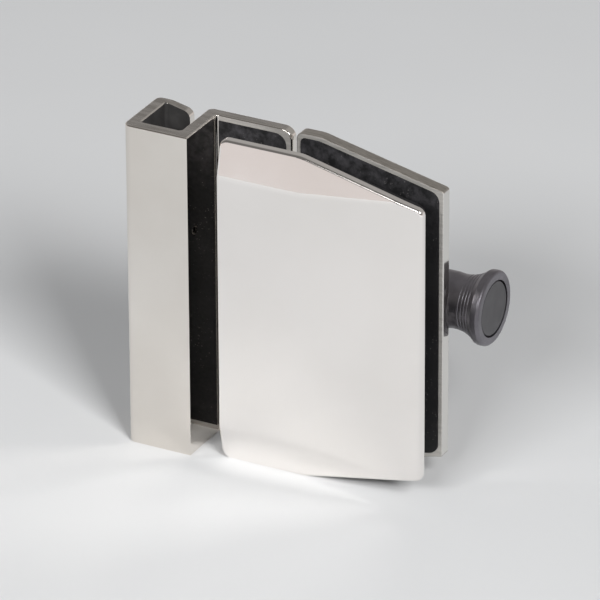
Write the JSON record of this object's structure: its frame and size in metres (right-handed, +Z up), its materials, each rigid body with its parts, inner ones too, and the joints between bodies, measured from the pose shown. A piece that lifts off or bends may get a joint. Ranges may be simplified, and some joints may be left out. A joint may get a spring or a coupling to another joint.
{
  "type": "pool gate latch",
  "caption": "Glass pool gate latch: a polished strike for the post and a clamp-on latch half whose sprung bolt is drawn back by a round side knob.",
  "frame": {"origin": "on the strike's post face, in the middle plane of the gate's glass, at half of the height", "axes": "+X away from the post along the closed gate, towards the knob; +Y from the front plate to the rear; +Z up"},
  "size_m": [0.1044, 0.0467, 0.105],
  "materials": {
    "polished_steel": "mirror polished stainless steel, warm grey",
    "plain_steel": "satin stainless steel fasteners and inner parts",
    "black_steel": "black oxide steel",
    "black_rubber": "matt black rubber",
    "bush_plastic": "off-white acetal",
    "sleeve_plastic": "black nylon",
    "spring_steel": "stainless spring wire",
    "knob_metal": "dark gunmetal grey, satin",
    "cap_metal": "dark gunmetal grey, matt"
  },
  "bodies": {
    "strike": {"strike_channel": "polished_steel", "strike_gasket": "black_rubber", "strike_keeper": "plain_steel", "keeper_screws": "plain_steel", "lock_screw": "black_steel"},
    "gate_half": {"front_plate": "polished_steel", "front_pad": "black_rubber", "rear_body": "polished_steel", "rear_gasket": "black_rubber", "clamp_screws": "plain_steel", "clamp_washers": "plain_steel", "clamp_sleeves": "sleeve_plastic", "bolt_bush": "bush_plastic", "stem_bush": "bush_plastic", "bush_screw": "plain_steel", "bolt_spring": "spring_steel"},
    "bolt_assembly": {"latch_bolt": "plain_steel", "bolt_collar": "plain_steel", "guide_pin": "plain_steel", "pull_stem": "plain_steel", "knob": "knob_metal", "knob_cap": "cap_metal", "knob_screw": "plain_steel", "knob_buffer": "black_rubber"}
  },
  "joints": [
    {"name": "gate_half_slide", "type": "slide", "parent": "strike", "child": "gate_half", "axis": [1, 0, 0], "range_m": [0, 0.05]},
    {"name": "knob_pull", "type": "slide", "parent": "gate_half", "child": "bolt_assembly", "axis": [1, 0, 0], "range_m": [0, 0.0095], "stiffness_N_per_m": 1300, "springref_m": -0.004, "deforming": ["bolt_spring"]}
  ]
}
